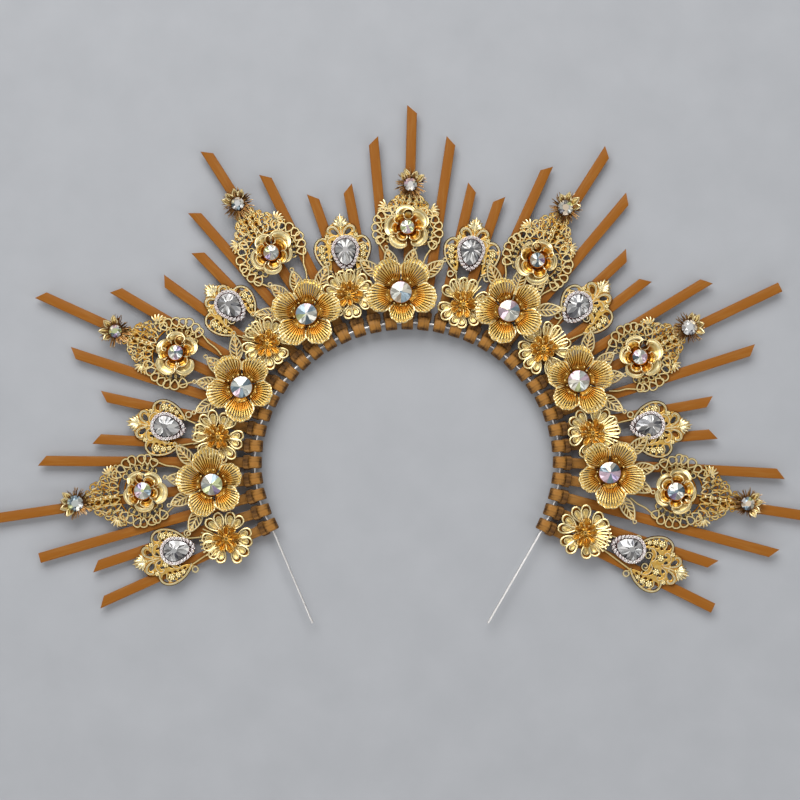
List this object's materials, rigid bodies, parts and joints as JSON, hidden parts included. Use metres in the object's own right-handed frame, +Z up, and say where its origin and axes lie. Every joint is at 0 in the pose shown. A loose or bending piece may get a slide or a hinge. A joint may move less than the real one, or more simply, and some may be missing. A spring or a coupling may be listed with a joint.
{
  "type": "halo crown",
  "caption": "Halo headpiece of painted cable-tie rays looped on an open wire hoop, with pierced gold fans, flowers, leaves and cut stones; it lies flat and is worn standing round the head.",
  "frame": {"origin": "under the middle of the crown's outline, on the plane that the tie heads rest on", "axes": "+Y to the middle ray, +X to the right, +Z up out of the side with the ornaments"},
  "size_m": [0.4058, 0.2462, 0.0126],
  "materials": {
    "tie_paint": "ochre gold paint, satin",
    "wire": "bright drawn wire",
    "gold": "bright gold plate",
    "bronze": "antique bronze plate",
    "silver": "silver plate of the pear settings",
    "crystal": "cut clear crystal with an iridescent coat"
  },
  "bodies": {
    "root": {"wire_hoop": "wire", "tie_01": "tie_paint", "tie_02": "tie_paint", "tie_03": "tie_paint", "tie_04": "tie_paint", "tie_05": "tie_paint", "tie_06": "tie_paint", "tie_07": "tie_paint", "tie_08": "tie_paint", "tie_09": "tie_paint", "tie_10": "tie_paint", "tie_11": "tie_paint", "tie_12": "tie_paint", "tie_13": "tie_paint", "tie_14": "tie_paint", "tie_15": "tie_paint", "tie_16": "tie_paint", "tie_17": "tie_paint", "tie_18": "tie_paint", "tie_19": "tie_paint", "tie_20": "tie_paint", "tie_21": "tie_paint", "tie_22": "tie_paint", "tie_23": "tie_paint", "tie_24": "tie_paint", "tie_25": "tie_paint", "tie_26": "tie_paint", "tie_27": "tie_paint", "tie_28": "tie_paint", "tie_29": "tie_paint", "tie_30": "tie_paint", "tie_31": "tie_paint", "tie_32": "tie_paint", "tie_33": "tie_paint", "tie_34": "tie_paint", "tie_35": "tie_paint", "tie_36": "tie_paint", "tie_37": "tie_paint", "fan_1": "gold", "fan_2": "gold", "fan_3": "gold", "fan_4": "gold", "fan_5": "gold", "fan_6": "gold", "fan_7": "gold", "flower_1": "gold", "flower_2": "gold", "flower_3": "gold", "flower_4": "gold", "flower_5": "gold", "flower_6": "gold", "flower_7": "gold", "drop_1": "gold", "drop_2": "gold", "drop_3": "gold", "drop_4": "gold", "drop_5": "gold", "drop_6": "gold", "drop_7": "gold", "drop_8": "gold"}
  },
  "joints": []
}
